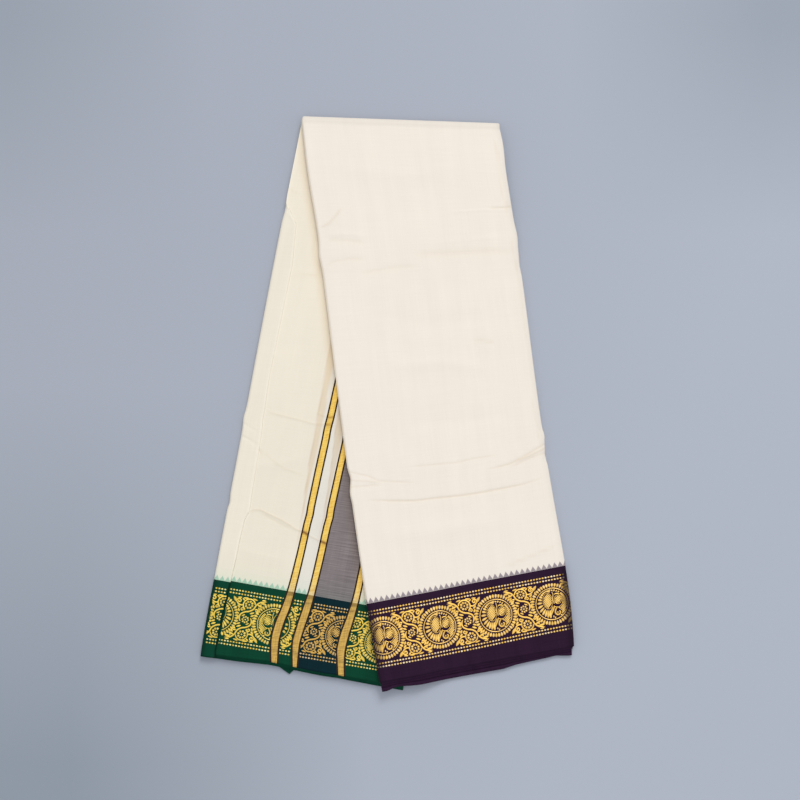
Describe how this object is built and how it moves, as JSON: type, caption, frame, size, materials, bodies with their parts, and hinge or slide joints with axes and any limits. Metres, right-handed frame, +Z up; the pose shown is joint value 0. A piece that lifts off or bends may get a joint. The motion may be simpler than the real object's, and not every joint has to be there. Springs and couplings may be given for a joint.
{
  "type": "folded dhoti cloth",
  "caption": "Cotton dhoti cloth folded lengthwise into a long pack, folded once more at the top and fanned out, with woven borders and an end panel.",
  "frame": {"origin": "centre of the folded cloth's bounding box, on the surface that it lies on", "axes": "+Y towards the top fold, +X towards the side that the front pack swings to, +Z up out of the surface"},
  "size_m": [0.4146, 0.637, 0.0129],
  "materials": {
    "cream_cotton": "fine plain weave, matt, slightly warm cream",
    "purple_cotton": "dense border weave, deep purple, soft sheen",
    "green_cotton": "dense border weave, deep green, soft sheen",
    "dark_teal_cotton": "dense border weave where the dark band crosses the green border",
    "gold_thread": "metal-wrapped yarn, satin gold",
    "grey_cotton": "slubby two-tone weave, mauve grey"
  },
  "bodies": {
    "root": {"hidden_layers": "cream_cotton", "front_face": "cream_cotton", "front_border": "purple_cotton", "front_hem_high": "purple_cotton", "front_hem_mid": "purple_cotton", "front_hem_low": "purple_cotton", "back_face": "cream_cotton", "back_border": "green_cotton", "left_strip": "cream_cotton", "left_strip_border": "green_cotton", "gold_line_1": "gold_thread", "gold_line_2": "gold_thread", "gold_line_3": "gold_thread", "panel_gap": "cream_cotton", "panel_gap_border": "green_cotton", "panel_band": "grey_cotton", "panel_band_border": "dark_teal_cotton", "panel_end": "cream_cotton", "panel_end_border": "green_cotton", "back_hem_high": "green_cotton", "back_hem_mid": "green_cotton", "back_hem_low": "green_cotton", "back_hem_tip": "dark_teal_cotton"}
  },
  "joints": []
}
